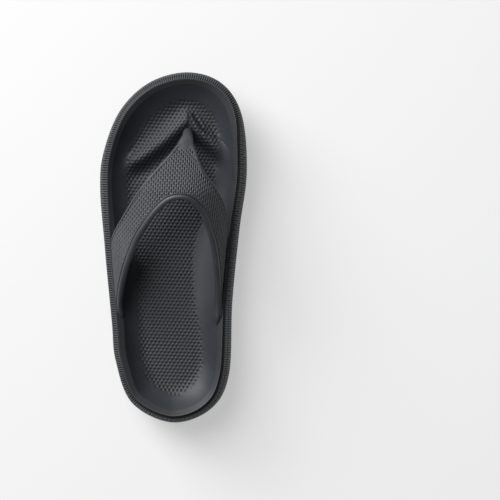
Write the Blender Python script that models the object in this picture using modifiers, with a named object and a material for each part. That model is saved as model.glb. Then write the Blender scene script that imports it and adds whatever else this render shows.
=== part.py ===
"""Left shoe of a pair of thick foam thong sandals (flip flops), as separate pieces.

The toe points along -Y, the outer (little toe) side is +X and +Z is up. The
origin is on the ground under the middle of the shoe. Driving dimensions are in
millimetres; Blender gets metres.
"""
import math

import bmesh
import bpy
from mathutils import Vector
from mathutils.geometry import interpolate_bezier

MM = 0.001
COLLECTION_NAME = "Flip flop"

# ---- driving dimensions, mm --------------------------------------------------
GAP = 0.3                    # clearance kept between touching pieces
SEGMENTS = 84                # points round the sole
# Widest outline of the sole, seen from above: toe tip, outer side, heel, inner side.
OUTLINE = [(-9, -134), (20, -125.5), (42, -103.5), (54, -71.5), (56, -44), (51, 0), (43.5, 58),
           (39.5, 88), (26, 120), (-5, 134), (-34, 123.5), (-47.5, 97), (-48.4, 40), (-52, -15),
           (-56.2, -60), (-51, -103), (-35, -126.5)]
SPINE_TOE, SPINE_HEEL = Vector((-3, -80, 0)), Vector((-3, 88, 0))

# Heights along the shoe, as (distance along Y, height).
SOLE_RISE = [(-134, 24), (-117, 15.5), (-102, 10), (-79, 4.4), (-64, 1.5), (-50, 0), (-12, 0),
             (19, 1.8), (50, 0), (108, 0), (118, 1.6), (127, 5.5), (134, 10)]
RIM_HEIGHT = [(-134, 51), (-100, 49), (-70, 44), (-40, 41.5), (0, 41.5), (60, 43.5), (134, 45.5)]
BED_HEIGHT = [(-134, 41), (-110, 37), (-88, 34), (-60, 30), (-30, 28), (20, 28.5), (70, 29.5),
              (110, 29.5), (134, 32)]

OUTSOLE_THICKNESS = 6.0
SOLE_JOINT = 0.5             # joint between the rubber and the foam
OUTSOLE_EDGE_STEP = 1.0      # the rubber stands in from the foam above it
UNDER_INSET_SIDE = 4.0       # how far the sole tucks in under its widest outline
UNDER_INSET_TOE = 11.0
UNDER_INSET_HEEL = 7.0
BULGE_SHARE = 0.35           # height share at which the wall is widest
RIM_INSET = 6.5              # outer edge of the rim bead, from the widest outline
CAVITY_INSET = 9.0           # wall of the cavity that holds the footbed
FOOTBED_THICKNESS = 8.0
CUP_WIDTH = 17.0             # width over which the cup wall runs out into the bed
CUP_WIDTH_ENDS = 22.0
CUP_WIDTH_ARCH = 25.0        # inner side, under the arch of the foot
CUP_CURVE = 2.3
LIP_DROP = 1.6               # cup lip below the rim bead

STRAP_THICKNESS = 4.0
STRAP_SLOT_Y = (-12, 64)     # slot in the footbed's edge for the strap's tab and the piping
STRAP_SLOT_WIDTH = 5.4
STRAP_RIDGE = [(-88, 58), (-83, 66), (-77, 72), (-64, 80), (-52, 85.5), (-39.5, 89), (60, 89)]
STRAP_CENTRE = [(-84, -9.8), (-39.5, -8), (20, -3), (60, -2)]
ARCH_POWER = 1.25
THROAT_APEX_Y, THROAT_END_Y = -41.0, 52.0
# Front edge, as (share of the turn from the ridge to the rim, distance along Y).
FRONT_OUTER = [(0, -79.8), (0.055, -79.3), (0.09, -75.5), (0.2, -64.2), (0.333, -51.6), (0.45, -38.9),
               (0.6, -26), (0.74, -18), (1, -9.2)]
FRONT_INNER = [(0, -79.8), (0.08, -79.3), (0.126, -76), (0.217, -65.5), (0.35, -54.7), (0.476, -45.3),
               (0.8, -27), (1, -10.4)]
STRAP_STEPS_ALONG, STRAP_STEPS_ACROSS = 48, 6
PIPING_RADIUS = 2.3
PIPING_TAIL = 9.0            # how far the piping runs on, down inside the rim

ANCHOR_RADIUS = 1.9
POST_X, POST_Y = -10.5, -90.0
POST_RADIUS = 4.1
POST_FOOT_RADIUS = 7.2
POST_FOOT_CLEARANCE = 1.7    # the bed slopes under the foot
WASHER_RADIUS, WASHER_THICKNESS = 11.0, 2.6
HEAD_RADIUS, HEAD_THICKNESS = 7.0, 3.6
WASHER_TOP = 24.0


# ---- shared geometry ---------------------------------------------------------
def value_at(stations, place):
    """Smooth value at a place, through (place, value) stations, without overshoot."""
    if place <= stations[0][0]:
        return stations[0][1]
    if place >= stations[-1][0]:
        return stations[-1][1]
    steps = [(b[0] - a[0], (b[1] - a[1]) / (b[0] - a[0])) for a, b in zip(stations, stations[1:])]
    slopes = [steps[0][1]]
    for (_, before), (_, after) in zip(steps, steps[1:]):
        agree = before * after > 0
        slopes.append(2 * before * after / (before + after) if agree else 0.0)
    slopes.append(steps[-1][1])
    k = max(i for i in range(len(steps)) if stations[i][0] <= place)
    width = steps[k][0]
    u = (place - stations[k][0]) / width
    return ((2 * u ** 3 - 3 * u ** 2 + 1) * stations[k][1] + (u ** 3 - 2 * u ** 2 + u) * width * slopes[k]
            + (3 * u ** 2 - 2 * u ** 3) * stations[k + 1][1] + (u ** 3 - u ** 2) * width * slopes[k + 1])


def ease(low, high, value):
    """0 below low, 1 above high and a smooth step between."""
    u = min(1.0, max(0.0, (value - low) / (high - low)))
    return u * u * (3 - 2 * u)


def closed_spline(points, steps):
    """Points on a smooth closed curve through the given points."""
    knots = [Vector((x, y, 0)) for x, y in points]
    count = len(knots)
    curve = []
    for i in range(count):
        before, start = knots[i - 1], knots[i]
        end, after = knots[(i + 1) % count], knots[(i + 2) % count]
        bezier = interpolate_bezier(start, start + (end - before) / 6, end - (after - start) / 6, end, steps + 1)
        curve += bezier[:-1]
    return curve


def centred(loop):
    """The loop moved so that its bounding box is centred on the origin."""
    xs, ys = [p.x for p in loop], [p.y for p in loop]
    middle = Vector(((min(xs) + max(xs)) / 2, (min(ys) + max(ys)) / 2, 0))
    return [p - middle for p in loop]


def evenly_spaced(loop, count):
    """The closed loop read at equal steps of its length."""
    closed = loop + [loop[0]]
    reach = [0.0]
    for a, b in zip(closed, closed[1:]):
        reach.append(reach[-1] + (b - a).length)
    points, k = [], 0
    for i in range(count):
        target = reach[-1] * i / count
        while reach[k + 1] < target:
            k += 1
        share = (target - reach[k]) / (reach[k + 1] - reach[k])
        points.append(closed[k].lerp(closed[k + 1], share))
    return points


FINE_LOOP = centred(closed_spline(OUTLINE, 40))
LOOP = evenly_spaced(FINE_LOOP, SEGMENTS)


def outline_x(y, side):
    """X of the widest outline at y, on the outer (side 1) or inner (side -1) side."""
    best = None
    for a, b in zip(FINE_LOOP, FINE_LOOP[1:] + FINE_LOOP[:1]):
        if (a.y - y) * (b.y - y) <= 0 and a.y != b.y:
            x = a.x + (b.x - a.x) * (y - a.y) / (b.y - a.y)
            if best is None or side * x > side * best:
                best = x
    return best


def spine_point(point):
    """The nearest point to an outline point on the spine of the sole."""
    y = min(max(point.y, SPINE_TOE.y), SPINE_HEEL.y)
    return Vector((SPINE_TOE.x, y, 0))


def inset_point(point, inset):
    """The outline point moved in towards the spine by inset."""
    spine = spine_point(point)
    reach = (spine - point).length
    return point.lerp(spine, inset / reach)


def toward_spine(point, start_inset, share):
    """A point a share of the way from the inset outline to the spine."""
    start = inset_point(point, start_inset)
    return start.lerp(spine_point(point), share)


def toe_weight(y):
    return ease(-92, -130, y)


def heel_weight(y):
    return ease(88, 128, y)


def under_inset(point):
    ends = (UNDER_INSET_TOE - UNDER_INSET_SIDE) * toe_weight(point.y)
    ends += (UNDER_INSET_HEEL - UNDER_INSET_SIDE) * heel_weight(point.y)
    return UNDER_INSET_SIDE + ends


def outsole_inset(point):
    return under_inset(point) + OUTSOLE_EDGE_STEP


def sole_rise(y):
    return value_at(SOLE_RISE, y)


def rim_height(y):
    return value_at(RIM_HEIGHT, y)


def bed_height(y):
    return value_at(BED_HEIGHT, y)


def carrier_base(y):
    """Height of the foam's underside, above the rubber."""
    return sole_rise(y) + OUTSOLE_THICKNESS + SOLE_JOINT


def cavity_floor(y):
    return bed_height(y) - FOOTBED_THICKNESS


def footbed_inset(point):
    return CAVITY_INSET + GAP


def cup_width(point):
    """Width of the cup wall: wider at the toe and heel, widest under the arch."""
    ends = max(toe_weight(point.y), heel_weight(point.y))
    width = CUP_WIDTH + (CUP_WIDTH_ENDS - CUP_WIDTH) * ends
    if point.x < SPINE_TOE.x:
        arch = ease(-50, 0, point.y) * ease(90, 40, point.y)
        width += (CUP_WIDTH_ARCH - CUP_WIDTH) * arch
    return width


def cup_height(point, inset):
    """Top surface of the footbed at an inset from the widest outline."""
    width = cup_width(point)
    u = min(1.0, max(0.0, (inset - CAVITY_INSET - GAP) / width))
    inner = inset_point(point, inset)
    bed = bed_height(inner.y)
    lip = rim_height(point.y) - LIP_DROP
    return bed + (lip - bed) * (1 - u) ** CUP_CURVE


# ---- mesh helpers ------------------------------------------------------------
def make_material(name, colour, roughness):
    material = bpy.data.materials.new(name)
    material.use_nodes = True
    shader = material.node_tree.nodes["Principled BSDF"]
    shader.inputs["Base Color"].default_value = (*colour, 1)
    shader.inputs["Roughness"].default_value = roughness
    shader.inputs["Metallic"].default_value = 0.0
    material.diffuse_color = (*colour, 1)
    return material


def add_object(name, mesh, collection, material=None):
    piece = bpy.data.objects.new(name, mesh)
    collection.objects.link(piece)
    if material:
        mesh.materials.append(material)
        mesh.shade_smooth()
        mesh.set_sharp_from_angle(angle=math.radians(40))
    return piece


def mesh_from_bmesh(name, bm):
    bmesh.ops.recalc_face_normals(bm, faces=bm.faces)
    mesh = bpy.data.meshes.new(name)
    bm.to_mesh(mesh)
    bm.free()
    return mesh


def loft(name, rings):
    """A closed solid through rings of equal length, with both end rings filled."""
    bm = bmesh.new()
    loops = [[bm.verts.new(p * MM) for p in ring] for ring in rings]
    count = len(rings[0])
    for lower, upper in zip(loops, loops[1:]):
        for i in range(count):
            j = (i + 1) % count
            bm.faces.new((lower[i], lower[j], upper[j], upper[i]))
    ends = [bm.faces.new(loops[0]), bm.faces.new(loops[-1])]
    bmesh.ops.triangulate(bm, faces=ends, ngon_method="BEAUTY")
    return mesh_from_bmesh(name, bm)


def ring_at(inset_of, height_of):
    """One ring round the sole: inset and height are functions of the outline point."""
    ring = []
    for point in LOOP:
        place = inset_point(point, inset_of(point))
        place.z = height_of(point, place)
        ring.append(place)
    return ring


def inner_rings(start_inset_of, height_of, shares=(0.3, 0.6, 0.88)):
    """Rings from an edge towards the spine, to carry a floor that follows a height."""
    rings = []
    for share in shares:
        ring = [toward_spine(point, start_inset_of(point), share) for point in LOOP]
        for place in ring:
            place.z = height_of(place.y)
        rings.append(ring)
    return rings


def cut(piece, cutter):
    """Subtract a cutter from a piece."""
    modifier = piece.modifiers.new("cut_" + cutter.name, "BOOLEAN")
    modifier.operation = "DIFFERENCE"
    modifier.object = cutter


def cylinder(name, radius, low, high, collection, material=None, sides=32):
    """An upright cylinder on the toe post's axis."""
    bm = bmesh.new()
    bmesh.ops.create_cone(bm, cap_ends=True, segments=sides, radius1=radius * MM, radius2=radius * MM,
                          depth=(high - low) * MM)
    piece = add_object(name, mesh_from_bmesh(name, bm), collection, material)
    piece.location = (POST_X * MM, POST_Y * MM, (low + high) / 2 * MM)
    if material is None:
        piece.hide_render = True
        piece.display_type = "WIRE"
    return piece


# ---- sole pieces -------------------------------------------------------------
def make_outsole(parts, material):
    """Rubber tread: a slab that follows the rocker of the sole."""
    def bevelled(point):
        return outsole_inset(point) + 1.2

    def bottom(y):
        return sole_rise(y)

    def top(y):
        return sole_rise(y) + OUTSOLE_THICKNESS

    rings = inner_rings(bevelled, bottom)[::-1]
    rings.append(ring_at(bevelled, lambda point, place: bottom(place.y)))
    rings.append(ring_at(outsole_inset, lambda point, place: bottom(place.y) + 1.5))
    rings.append(ring_at(outsole_inset, lambda point, place: top(place.y)))
    rings += inner_rings(outsole_inset, top)
    return add_object("outsole", loft("outsole", rings), parts, material)


def wall_inset(point, share):
    """Inset of the foam wall at a share of its height: a bulge that leans in to the rim."""
    if share < BULGE_SHARE:
        return under_inset(point) * (1 - share / BULGE_SHARE) ** 2
    return RIM_INSET * ((share - BULGE_SHARE) / (1 - BULGE_SHARE)) ** 2.2


def make_midsole(parts, material):
    """Foam carrier: bulging wall, rim bead and the cavity for the footbed."""
    def wall_ring(share):
        def height(point, place):
            base_y = inset_point(point, under_inset(point)).y
            low, high = carrier_base(base_y), rim_height(point.y) - 0.8
            return low + (high - low) * share
        return ring_at(lambda point: wall_inset(point, share), height)

    def rim_ring(inset, lift):
        return ring_at(lambda point: inset, lambda point, place: rim_height(point.y) + lift)

    rings = inner_rings(outsole_inset, carrier_base)[::-1]
    rings.append(ring_at(outsole_inset, lambda point, place: carrier_base(place.y)))
    rings += [wall_ring(share) for share in (0, 0.1, 0.22, 0.35, 0.55, 0.75, 0.9, 1)]
    rings += [rim_ring(RIM_INSET + 0.6, 0.0), rim_ring(CAVITY_INSET - 0.7, 0.0)]
    rings.append(rim_ring(CAVITY_INSET, -0.9))
    rings.append(ring_at(lambda point: CAVITY_INSET, lambda point, place: cavity_floor(place.y)))
    rings += inner_rings(lambda point: CAVITY_INSET, cavity_floor)
    return add_object("midsole", loft("midsole", rings), parts, material)


def make_footbed(parts, material):
    """Contoured footbed: a cup wall that runs out into the bed under the foot."""
    def inner_inset(point):
        return footbed_inset(point) + cup_width(point)

    def top_ring(step):
        def inset(point):
            return footbed_inset(point) + cup_width(point) * step
        return ring_at(inset, lambda point, place: cup_height(point, inset(point)))

    def underside(y):
        return cavity_floor(y) + GAP

    rings = inner_rings(footbed_inset, underside)[::-1]
    rings.append(ring_at(footbed_inset, lambda point, place: underside(place.y)))
    rings += [top_ring(step) for step in (0, 0.08, 0.2, 0.36, 0.56, 0.78, 1)]
    rings += inner_rings(inner_inset, bed_height, shares=(0.45, 0.85))
    return add_object("footbed", loft("footbed", rings), parts, material)


# ---- strap -------------------------------------------------------------------
def strap_surface(turn, y):
    """Outer face of the strap: an arch across the shoe, turn -1 (inner rim) to 1 (outer)."""
    side = 1 if turn >= 0 else -1
    centre = value_at(STRAP_CENTRE, y)
    rim = outline_x(y, side) - side * (CAVITY_INSET + GAP)
    angle = abs(turn) * math.pi / 2
    low, high = rim_height(y), value_at(STRAP_RIDGE, y)
    return Vector((centre + (rim - centre) * math.sin(angle), y,
                   low + (high - low) * max(0.0, math.cos(angle)) ** ARCH_POWER))


def throat_y(turn):
    """Rear edge of the strap: a straight rise from the rim to the apex, seen from the side."""
    share = 1 - max(0.0, math.cos(abs(turn) * math.pi / 2)) ** ARCH_POWER
    return THROAT_APEX_Y + (THROAT_END_Y - THROAT_APEX_Y) * share


def front_y(turn):
    return value_at(FRONT_OUTER if turn >= 0 else FRONT_INNER, abs(turn))


def tab_bottom(y):
    """Lower edge of the strap's tab, just above the anchor rod."""
    return cavity_floor(y) + 2 * ANCHOR_RADIUS + 2 * GAP


def strap_turns():
    """Turns from rim to rim, a little closer together at the steep sides."""
    half = STRAP_STEPS_ALONG // 2
    shares = [step / half for step in range(-half, half + 1)]
    return [math.copysign(1 - (1 - abs(share)) ** 1.25, share) for share in shares]


def strap_rows():
    """Rows of points across the strap, from the inner tab over the arch to the outer tab."""
    rows = []
    for turn in strap_turns():
        back, front = throat_y(turn), front_y(turn)
        rows.append([strap_surface(turn, back + (front - back) * k / STRAP_STEPS_ACROSS)
                     for k in range(STRAP_STEPS_ACROSS + 1)])
    for end in (0, -1):
        for drop in (0.4, 1.0):
            rim_row = rows[end] if drop == 0.4 else base_row
            base_row = rim_row
            row = [Vector((p.x, p.y, rim_height(p.y) + (tab_bottom(p.y) - rim_height(p.y)) * drop))
                   for p in base_row]
            rows = [row] + rows if end == 0 else rows + [row]
    return rows


def make_strap(parts, material):
    """V strap: an arched band, thickened inwards, with a tab below the rim on each side."""
    bm = bmesh.new()
    grid = [[bm.verts.new(p * MM) for p in row] for row in strap_rows()]
    for row, following in zip(grid, grid[1:]):
        for k in range(STRAP_STEPS_ACROSS):
            bm.faces.new((row[k], row[k + 1], following[k + 1], following[k]))
    bmesh.ops.recalc_face_normals(bm, faces=bm.faces)
    top = max(bm.faces, key=lambda face: face.calc_center_median().z)
    if top.normal.z < 0:
        bmesh.ops.reverse_faces(bm, faces=bm.faces)
    mesh = bpy.data.meshes.new("strap")
    bm.to_mesh(mesh)
    bm.free()
    strap = add_object("strap", mesh, parts, material)
    shell = strap.modifiers.new("thickness", "SOLIDIFY")
    shell.thickness = STRAP_THICKNESS * MM
    shell.offset = -1
    shell.use_even_offset = True
    return strap


def surface_normal(turn, y):
    """Outward normal of the strap's outer face."""
    turn = max(-0.985, min(0.985, turn))
    along = strap_surface(turn + 0.01, y) - strap_surface(turn - 0.01, y)
    across = strap_surface(turn, y + 0.5) - strap_surface(turn, y - 0.5)
    return along.cross(across).normalized()


def piping_path():
    """Centre line of the piping, just behind the strap's rear edge."""
    path = []
    for turn in strap_turns():
        y = throat_y(turn)
        edge = strap_surface(turn, y)
        normal = surface_normal(turn, y)
        before = strap_surface(max(-1, turn - 0.01), throat_y(max(-1, turn - 0.01)))
        after = strap_surface(min(1, turn + 0.01), throat_y(min(1, turn + 0.01)))
        rearward = normal.cross(after - before).normalized()
        rearward = rearward if rearward.y > 0 else -rearward
        path.append(edge - normal * STRAP_THICKNESS / 2 + rearward * (PIPING_RADIUS + GAP))
    first = path[0] + (path[0] - path[1]).normalized() * PIPING_TAIL
    last = path[-1] + (path[-1] - path[-2]).normalized() * PIPING_TAIL
    path = [first] + path + [last]
    for place in path:
        side = 1 if place.x > value_at(STRAP_CENTRE, place.y) else -1
        widest = side * outline_x(place.y, side) - CAVITY_INSET - 2 * GAP - PIPING_RADIUS
        place.x = side * min(side * place.x, widest)
    return path


def tube(name, path, radius, parts, material):
    """A round bar along a path, from a bevelled curve with filled caps."""
    curve = bpy.data.curves.new(name, "CURVE")
    curve.dimensions = "3D"
    curve.bevel_depth = radius * MM
    curve.bevel_resolution = 2
    curve.use_fill_caps = True
    spline = curve.splines.new("POLY")
    spline.points.add(len(path) - 1)
    for knot, place in zip(spline.points, path):
        knot.co = (*(place * MM), 1)
    curve.materials.append(material)
    bar = bpy.data.objects.new(name, curve)
    parts.objects.link(bar)
    return bar


def make_piping(parts, material):
    return tube("strap_piping", piping_path(), PIPING_RADIUS, parts, material)


def make_anchor(name, side, parts, material):
    """Anchor rod under the strap's tab, between the carrier's wall and the footbed."""
    path = []
    ends = (-8.0, THROAT_END_Y - 1.0)
    steps = 14
    for step in range(steps + 1):
        y = ends[0] + (ends[1] - ends[0]) * step / steps
        x = outline_x(y, side) - side * (CAVITY_INSET + 2 * GAP + ANCHOR_RADIUS)
        path.append(Vector((x, y, cavity_floor(y) + GAP + ANCHOR_RADIUS)))
    return tube(name, path, ANCHOR_RADIUS, parts, material)


# ---- toe post ----------------------------------------------------------------
def post_section(centre, lean, half_width, half_depth, sides=20):
    """An oval section; lean is how far its plane turns back from level, in degrees."""
    tilt = math.radians(lean)
    ring = []
    for i in range(sides):
        angle = 2 * math.pi * i / sides
        across, along = half_width * math.cos(angle), half_depth * math.sin(angle)
        ring.append(Vector(centre) + Vector((across, along * math.cos(tilt), along * math.sin(tilt))))
    return ring


def make_toe_post(parts, material):
    """Toe post: anchor head, stem, flared foot on the bed and the neck up to the strap."""
    x, y = POST_X, POST_Y
    washer_low = WASHER_TOP - WASHER_THICKNESS
    head_low = washer_low - GAP - HEAD_THICKNESS
    foot = bed_height(y) + POST_FOOT_CLEARANCE
    nose_y = FRONT_OUTER[0][1]
    nose = strap_surface(0, nose_y)
    normal = surface_normal(0, nose_y)
    downhill = Vector((0, -normal.z, normal.y))
    neck_top = nose - normal * STRAP_THICKNESS / 2 + downhill * 2 * GAP
    lean = math.degrees(math.atan2(normal.z, normal.y))
    half_strap = STRAP_THICKNESS / 2
    levels = [
        ((x, y, head_low), 0, HEAD_RADIUS, HEAD_RADIUS),
        ((x, y, head_low + HEAD_THICKNESS), 0, HEAD_RADIUS, HEAD_RADIUS),
        ((x, y, head_low + HEAD_THICKNESS + 0.05), 0, POST_RADIUS, POST_RADIUS),
        ((x, y, foot), 0, POST_RADIUS, POST_RADIUS),
        ((x, y, foot + 0.05), 0, POST_FOOT_RADIUS, POST_FOOT_RADIUS),
        ((x, y, foot + 1.2), 0, POST_FOOT_RADIUS - 0.8, POST_FOOT_RADIUS - 0.8),
        ((x, y + 0.2, foot + 4), 0, POST_RADIUS + 0.7, POST_RADIUS + 0.7),
        ((x, y + 0.6, foot + 9), 0, POST_RADIUS, POST_RADIUS),
        ((x + 0.2, y + 1.7, foot + 15), -12, POST_RADIUS, POST_RADIUS),
        ((x + 0.4, y + 3.8, foot + 22), -25, POST_RADIUS + 0.1, POST_RADIUS - 0.4),
    ]
    stem_top = Vector(levels[-1][0])
    top_lean = lean - 180 if lean > 90 else lean
    for share in (0.55, 1.0):
        centre = stem_top.lerp(neck_top, share)
        centre.y -= 1.2 * math.sin(math.pi * share)
        centre.z += 0.8 * math.sin(math.pi * share)
        levels.append((centre, -25 + (top_lean + 25) * share, POST_RADIUS + 0.9 * share,
                       POST_RADIUS - 0.4 + (half_strap - POST_RADIUS + 0.4) * share))
    rings = [post_section(*level) for level in levels]
    return add_object("toe_post", loft("toe_post", rings), parts, material)


def make_washer(parts, cutters, material):
    """Washer that spreads the toe post's pull under the footbed."""
    low = WASHER_TOP - WASHER_THICKNESS
    washer = cylinder("toe_post_washer", WASHER_RADIUS, low, WASHER_TOP, parts, material)
    bore = cylinder("washer_bore", POST_RADIUS + GAP, low - 1, WASHER_TOP + 1, cutters)
    cut(washer, bore)
    return washer


def slot_cutter(name, side, cutters):
    """A bar that follows the rim, to cut the strap's slot in the footbed's edge."""
    rings = []
    low, high = STRAP_SLOT_Y
    steps = 12
    for step in range(steps + 1):
        y = low + (high - low) * step / steps
        outer = outline_x(y, side) - side * (CAVITY_INSET - 1)
        inner = outline_x(y, side) - side * (CAVITY_INSET + GAP + STRAP_SLOT_WIDTH)
        rings.append([Vector((outer, y, 10)), Vector((inner, y, 10)),
                      Vector((inner, y, 60)), Vector((outer, y, 60))])
    slot = add_object(name, loft(name, rings), cutters)
    slot.hide_render = True
    slot.display_type = "WIRE"
    return slot


def cut_post_seat(midsole, footbed, cutters):
    """The hole in the footbed for the stem, and the pocket in the carrier below it."""
    pocket_low = WASHER_TOP - WASHER_THICKNESS - GAP - HEAD_THICKNESS - GAP
    pocket = cylinder("post_pocket", WASHER_RADIUS + GAP, pocket_low, 32, cutters)
    cut(midsole, pocket)
    hole = cylinder("post_hole", POST_RADIUS + GAP, 20, 45, cutters)
    cut(footbed, hole)


# ---- assembly ----------------------------------------------------------------
def main():
    for old in list(bpy.data.objects):
        bpy.data.objects.remove(old, do_unlink=True)
    parts = bpy.data.collections.new(COLLECTION_NAME)
    cutters = bpy.data.collections.new("Cutters")
    bpy.context.scene.collection.children.link(parts)
    bpy.context.scene.collection.children.link(cutters)

    rubber = make_material("outsole_rubber", (0.022, 0.023, 0.026), 0.7)
    foam = make_material("midsole_foam", (0.040, 0.042, 0.047), 0.62)
    bed_foam = make_material("footbed_foam", (0.034, 0.036, 0.041), 0.66)
    strap_foam = make_material("strap_foam", (0.042, 0.044, 0.049), 0.6)
    piping_foam = make_material("piping_foam", (0.036, 0.038, 0.043), 0.5)
    hard_plastic = make_material("anchor_plastic", (0.05, 0.05, 0.055), 0.45)

    make_outsole(parts, rubber)
    midsole = make_midsole(parts, foam)
    footbed = make_footbed(parts, bed_foam)
    cut_post_seat(midsole, footbed, cutters)
    cut(footbed, slot_cutter("outer_strap_slot", 1, cutters))
    cut(footbed, slot_cutter("inner_strap_slot", -1, cutters))
    make_strap(parts, strap_foam)
    make_piping(parts, piping_foam)
    make_toe_post(parts, strap_foam)
    make_washer(parts, cutters, hard_plastic)
    make_anchor("outer_strap_anchor", 1, parts, hard_plastic)
    make_anchor("inner_strap_anchor", -1, parts, hard_plastic)


main()
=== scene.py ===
"""Looks of the thong sandal: every visible foam and rubber piece, the floor, light and camera.

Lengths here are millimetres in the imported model's frame (toe along -Y, outer side +X,
+Z up) and become metres when a mesh is made. The outline and the height stations of
the sole repeat the CAD's. The strap follows the photo more closely than the CAD's
strap does, so its edges differ by some millimetres, and it reaches nearer the rim.
"""
import math

import bpy
import numpy as np
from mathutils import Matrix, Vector
from mathutils.geometry import delaunay_2d_cdt, interpolate_bezier


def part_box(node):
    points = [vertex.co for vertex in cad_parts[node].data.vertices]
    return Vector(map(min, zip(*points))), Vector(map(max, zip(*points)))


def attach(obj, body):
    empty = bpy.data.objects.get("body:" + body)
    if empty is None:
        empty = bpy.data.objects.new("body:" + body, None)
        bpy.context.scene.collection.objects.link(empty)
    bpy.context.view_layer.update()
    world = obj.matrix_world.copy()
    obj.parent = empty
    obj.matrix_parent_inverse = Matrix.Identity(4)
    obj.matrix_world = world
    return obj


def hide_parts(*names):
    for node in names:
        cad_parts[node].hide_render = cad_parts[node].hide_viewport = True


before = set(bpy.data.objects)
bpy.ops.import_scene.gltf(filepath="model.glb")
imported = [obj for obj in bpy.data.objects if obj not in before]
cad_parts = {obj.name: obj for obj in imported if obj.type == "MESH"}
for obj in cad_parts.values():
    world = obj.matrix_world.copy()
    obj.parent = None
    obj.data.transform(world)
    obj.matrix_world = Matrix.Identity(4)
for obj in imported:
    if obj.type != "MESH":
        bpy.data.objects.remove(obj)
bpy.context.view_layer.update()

MM = 0.001

# ---- view, light and colours, m ----
VIEW_WIDTH, VIEW_LEVEL = 0.384, 0.025   # width of the view, at this height above the floor
CAMERA_DISTANCE = 2.0
CAMERA_X, CAMERA_Y = -0.0607, -0.0001
CAMERA_LEAN = 1.9                       # degrees that the shoe leans to the right in the view
LIGHTS = [("key_light", (1.05, -1.12, 2.55), 1.95, 74),     # name, place, diameter, watts
          ("side_light", (1.35, -1.2, 0.93), 1.2, 42)]
FLOOR_TONE, FLOOR_GLOW, SKY_STRENGTH = 0.36, 0.47, 0.15
WALL_COLOUR = (0.044, 0.047, 0.052)
# BED_COLOUR is darker than the wall's foam, partly as painted shade on the sunken footbed.
BED_COLOUR = (0.023, 0.026, 0.031)
BAND_COLOUR = (0.050, 0.053, 0.058)
BEAD_COLOUR = (0.032, 0.035, 0.040)
POST_COLOUR = (0.036, 0.039, 0.044)
TREAD_COLOUR = (0.022, 0.024, 0.028)
HIDDEN_COLOUR = (0.05, 0.05, 0.055)

# ---- design dimensions, mm ----
# Stations are (Y, height) or (Y, X) unless they say otherwise; the outline is (X, Y).
OUTLINE = [(-9, -134), (20, -125.5), (42, -103.5), (54, -71.5), (56, -44), (51, 0), (43.5, 58),
           (39.5, 88), (26, 120), (-5, 134), (-34, 123.5), (-47.5, 97), (-48.4, 40), (-52, -15),
           (-56.2, -60), (-51, -103), (-35, -126.5)]
SPINE_X, SPINE_TOE_Y, SPINE_HEEL_Y = -3.0, -80.0, 88.0
SOLE_RISE = [(-134, 24), (-117, 15.5), (-102, 10), (-79, 4.4), (-64, 1.5), (-50, 0), (-12, 0),
             (19, 1.8), (50, 0), (108, 0), (118, 1.6), (127, 5.5), (134, 10)]
RIM_HEIGHT = [(-134, 51), (-100, 49), (-70, 44), (-40, 41.5), (0, 41.5), (60, 43.5), (134, 45.5)]
BED_HEIGHT = [(-134, 41), (-110, 37), (-88, 34), (-60, 30), (-30, 28), (20, 28.5), (70, 29.5),
              (110, 29.5), (134, 32)]
OUTSOLE_THICKNESS = 6.0
UNDER_INSET_SIDE, UNDER_INSET_TOE, UNDER_INSET_HEEL = 4.0, 11.0, 7.0
BULGE_SHARE = 0.35           # height of the wall's widest line, as a share of the wall
WALL_FOOT = [(6.0, 0.0), (0.9, -0.02)]   # rows under the wall: further inset, and height
SHOULDER_BACK, SHOULDER_DROP = 3.2, 2.3  # where the wall's bulge ends, below and outside the lip
TOE_STEP_CUT = 0.6           # share that the step to the lip loses round the toe
FOOTBED_EDGE = 9.8           # inset of the footbed's edge, just under the lip
# Inset of the inner end of the wall's relief, at Y stations down the outer and the inner side.
RELIEF_END_OUTER = [(-134, 5.6), (-110, 5.5), (-80, 6.0), (-45, 6.3), (-10, 5.2), (20, 4.4), (60, 4.4),
                    (100, 4.8), (134, 5.8)]
RELIEF_END_INNER = [(-134, 5.6), (-120, 4.6), (-100, 5.4), (-75, 7.0), (-40, 7.2), (0, 6.8), (50, 6.6),
                    (100, 7.0), (134, 5.8)]
LIP_END = 10.0               # inset of the lip's inner end
SOCKET_DEPTH = 9             # the wall's inside ends this far below the bed's height
CUP_WIDTH, CUP_WIDTH_ENDS, CUP_WIDTH_ARCH, CUP_CURVE = 17.0, 22.0, 25.0, 2.3
LIP_DROP = 2.95              # the footbed's edge below the rim's height
FOOTBED_SKIRT = 7.5          # the footbed's hidden side ends this far below the bed's height

STRAP_THICKNESS = 4.0
STRAP_RIDGE = [(-88, 58), (-83, 66), (-77, 72), (-64, 80), (-52, 85.5), (-39.5, 89), (60, 89)]
STRAP_CENTRE = [(-84, -9.8), (-39.5, -8), (20, -3), (60, -2)]
ARCH_POWER = 1.25
REAR_SETBACK = 0.3           # the face starts this far in front of the throat edge
TAB_DROPS = (1.5, 6.0, 12.0)  # rows of the tabs, below the ends of the strap
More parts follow.
